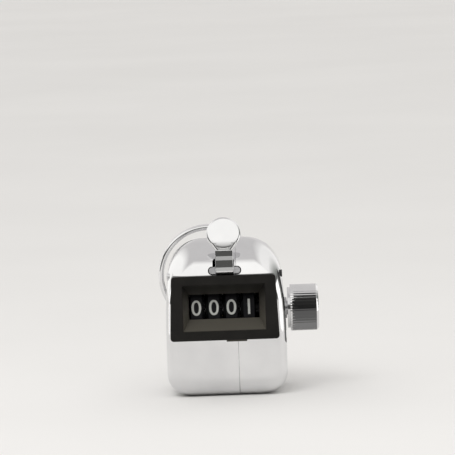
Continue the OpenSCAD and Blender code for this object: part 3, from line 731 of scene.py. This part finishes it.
def buildKnob():
    s = knobSet
    face = s["start"] + s["step"]
    rim = s["end"] - s["chamfer"]
    knob = addRod("resetKnob", s["radius"], (face, 0, shaftHigh), (rim, 0, shaftHigh),
                  s["flutes"] * s["sides"])
    openEdit(knob, "FACE")
    choose(knob, "faces", lambda f: f.normal.x > 0.9)
    push(x=s["chamfer"])
    ratio = (s["radius"] - s["chamfer"]) / s["radius"]
    stretch(1, ratio, ratio, (s["end"], 0, shaftHigh))
    bpy.ops.mesh.inset(thickness=(s["radius"] - s["chamfer"] - s["sink"]) * mm)
    push(x=s["seat"] - s["end"])
    choose(knob, "faces", lambda f: f.normal.x < -0.9)
    bpy.ops.mesh.inset(thickness=(s["radius"] - s["collar"]) * mm)
    push(x=-s["step"])
    bpy.ops.mesh.inset(thickness=(s["collar"] - s["bore"]) * mm)
    push(x=s["shaftEnd"] - s["start"])
    bpy.ops.mesh.select_mode(type="VERT")
    step = math.radians(360 / s["flutes"])

    def inFlute(v):
        up = v.co.z - shaftHigh * mm
        turn = math.atan2(up, v.co.y) / step
        return math.hypot(v.co.y, up) > (s["radius"] - s["depth"]) * mm and abs(turn - round(turn)) < 0.1

    choose(knob, "verts", inFlute)
    ratio = (s["radius"] - s["depth"]) / s["radius"]
    stretch(1, ratio, ratio, (face, 0, shaftHigh))
    closeEdit()
    breakEdges(knob, 0.05, 28, 2)
    smoothOver(knob, 30)
    return knob


resetKnob = buildKnob()
place(resetKnob, "reset", "knob_chrome", knobChrome, "reset_knob")
print("reset knob:", len(resetKnob.data.polygons), "faces")


# finger ring with its knuckle

ringSet = {"centre": (-4.4, 31.2), "radius": 14.6, "thick": 1.6, "ys": (15.1, 19.1), "hinge": (17.1, 14.7),
           "knuckle": 1.6, "knuckleHalf": 2.1, "neckHalf": 1.2, "bore": 0.75, "edge": 0.7,
           "cutYs": (10, 25), "boreReach": 9}


def buildRing():
    s = ringSet
    x, z = s["centre"]
    band = addRod("fingerRing", s["radius"], (x, s["ys"][0], z), (x, s["ys"][1], z), 160)
    near, far = s["cutYs"]
    carve(band, addRod("fingerTool", s["radius"] - s["thick"], (x, near, z), (x, far, z), 160))
    breakEdges(band, s["edge"], 50, 6)
    y, low = s["hinge"]
    half = s["knuckleHalf"]
    knuckle = addRod("knuckle", s["knuckle"], (x - half, y, low), (x + half, y, low), 64)
    neck = addBox("neck", (x - s["neckHalf"], y - s["neckHalf"], low),
                  (x + s["neckHalf"], y + s["neckHalf"], z - s["radius"] + s["thick"] / 2))
    carve(knuckle, neck, "UNION")
    reach = s["boreReach"]
    carve(knuckle, addRod("boreTool", s["bore"], (x - reach, y, low), (x + reach, y, low), 40))
    breakEdges(knuckle, 0.15, 40, 3)
    for part in (band, knuckle):
        smoothOver(part, 34)
    return joinAll([band, knuckle], "fingerRing")


fingerRing = buildRing()
place(fingerRing, "ring", "ring_chrome", ringChrome, "finger_ring")
print("finger ring:", len(fingerRing.data.polygons), "faces")


# finishes of the nodes that stay as they are

keptFinish = {"ring_bracket": ringChrome, "lever_pin": pinSteel}
slotFinish = {"steel": brightSteel, "black_steel": blackSteel, "brass": turnedBrass,
              "wheel_black": wheelPlastic}
for entry in frame["record"]["subparts"]:
    finish = keptFinish.get(entry["node"], slotFinish.get(entry["material_slot"]))
    if finish:
        node = frame["nodes"][entry["node"]]
        node.data.materials.clear()
        node.data.materials.append(finish)
print("kept nodes finished")


# floor, light and camera

stageSet = {"floor": (0.80, 0.79, 0.78), "floorDark": (0.79, 0.78, 0.77), "floorPale": (0.82, 0.81, 0.80),
            "floorSize": 12, "aim": (1.35, 0, 46.5), "distance": 1100, "lift": 6, "roll": 2, "field": 129.3,
            "sensor": 36}

bpy.ops.object.select_all(action="DESELECT")
bpy.ops.mesh.primitive_plane_add(size=stageSet["floorSize"], location=(0, 2, 0))
studioFloor = startPiece("studioFloor")
floorFinish, floorTree, floorShader = newFinish("floorFinish", stageSet["floor"], 0, 0.8)
floorCloud = spread(floorTree, grain(floorTree, 6, 3), 0, 1)
floorTree.links.new(tint(floorTree, floorCloud, stageSet["floorDark"], stageSet["floorPale"]),
                    floorShader.inputs["Base Color"])
studioFloor.data.materials.append(floorFinish)

skySet = {"white": (1.22, 1.21, 1.18), "ceiling": (0.70, 0.685, 0.68), "dark": (0.10, 0.10, 0.095),
          "far": (0.36, 0.37, 0.35), "farRight": (0.62, 0.85),
          "left": (-0.28, -0.54, 1), "right": (0.14, 0.36, 0.75), "front": (-0.3, -0.48),
          "horizon": (0.33, 0.5), "behind": (0.1, 0.35)}

world = bpy.data.worlds.new("studioWorld")
scene.world = world
world.use_nodes = True
sky = world.node_tree
where = sky.nodes.new("ShaderNodeTexCoord")
parts = sky.nodes.new("ShaderNodeSeparateXYZ")
sky.links.new(where.outputs["Generated"], parts.inputs["Vector"])


def skyStep(source, start, end, most=1):   # rises from 0 between two values of a direction
    span = sky.nodes.new("ShaderNodeMapRange")
    span.inputs["From Min"].default_value = start
    span.inputs["From Max"].default_value = end
    span.inputs["To Max"].default_value = most
    sky.links.new(source, span.inputs["Value"])
    return span.outputs["Result"]


def skyMath(kind, *sources):
    node = sky.nodes.new("ShaderNodeMath")
    node.operation = kind
    for k, source in enumerate(sources):
        sky.links.new(source, node.inputs[k])
    return node.outputs["Value"]


# white walls in front and at the sides, a greyer ceiling, and a dark strip along the front horizon
sideways = skyMath("MAXIMUM", skyStep(parts.outputs["X"], *skySet["left"]),
                   skyStep(parts.outputs["X"], *skySet["right"]))
forward = skyStep(parts.outputs["Y"], *skySet["front"])
room = tint(sky, skyMath("MAXIMUM", sideways, forward), skySet["ceiling"], skySet["white"])
corner = tint(sky, skyStep(parts.outputs["X"], *skySet["farRight"]), skySet["white"], skySet["far"])
sky.links.new(room, corner.node.inputs[6])
blend = sky.nodes.new("ShaderNodeMix")
blend.data_type = "RGBA"
blend.inputs[6].default_value = (*skySet["dark"], 1)
sky.links.new(skyMath("MAXIMUM", skyStep(parts.outputs["Z"], *skySet["horizon"]),
                      skyStep(parts.outputs["Y"], *skySet["behind"])), blend.inputs[0])
sky.links.new(corner, blend.inputs[7])
sky.links.new(blend.outputs[2], sky.nodes["Background"].inputs["Color"])


lightSet = {"at": (-250, -520, 720), "target": (0, 0, 20), "size": (520, 420), "power": 2.2}

bpy.ops.object.select_all(action="DESELECT")
bpy.ops.object.light_add(type="AREA", location=[c * mm for c in lightSet["at"]])
softBox = bpy.context.active_object
softBox.name = "softBox"
softBox.data.shape = "RECTANGLE"
softBox.data.size, softBox.data.size_y = [side * mm for side in lightSet["size"]]
softBox.data.energy = lightSet["power"]
shine = Vector(lightSet["target"]) - Vector(lightSet["at"])
softBox.rotation_euler = shine.to_track_quat("-Z", "Y").to_euler()
softBox.visible_glossy = False

# screens that only reflections see: two pale ones far off, and dark ones close to the knob
screenSet = {"pale": (0.8, 0.8, 0.8), "dark": (0.012, 0.012, 0.011), "tone": (1, 0.99, 0.97),
             "all": (("leftScreen", (-151, -10, 2), (-150, 20, 80), "pale", 0.9),
                     ("rightScreen", (150, -80, 2), (151, 10, 80), "pale", 0.9),
                     ("frontFlag", (18.9, -7.85, 23), (26.8, -7.75, 28.5), "dark", 0.012),
                     ("highFlag", (19.4, -7.85, 28.5), (26.8, -7.75, 38), "dark", 0.03),
                     ("lowFlag", (18.9, -7.85, 14), (26.8, -7.75, 23), "dark", 0.12),
                     ("underFlag", (18.9, -7.75, 13.9), (26.8, 2, 14), "dark", 0.22))}

for name, low, high, shade, glow in screenSet["all"]:
    screen = addBox(name, low, high)
    finish, finishTree, shader = newFinish(name, screenSet[shade], 0, 0.9)
    shader.inputs["Emission Color"].default_value = (*screenSet["tone"], 1)
    shader.inputs["Emission Strength"].default_value = glow
    screen.data.materials.append(finish)
    screen.visible_camera = screen.visible_diffuse = screen.visible_shadow = False

lift = math.radians(stageSet["lift"])
aim = Vector(stageSet["aim"]) * mm
back = Vector((0, -math.cos(lift), math.sin(lift)))
bpy.ops.object.select_all(action="DESELECT")
bpy.ops.object.camera_add(location=aim + back * stageSet["distance"] * mm)
camera = bpy.context.active_object
camera.name = "photoCamera"
look = (-back).to_track_quat("-Z", "Y")
camera.rotation_euler = look.to_euler()
camera.rotation_euler.rotate_axis("Z", -math.radians(stageSet["roll"]))
camera.data.sensor_width = stageSet["sensor"]
camera.data.lens = stageSet["sensor"] * stageSet["distance"] / stageSet["field"]
camera.data.clip_end = 50
scene.camera = camera
scene.view_settings.view_transform = "Standard"
print("stage set")
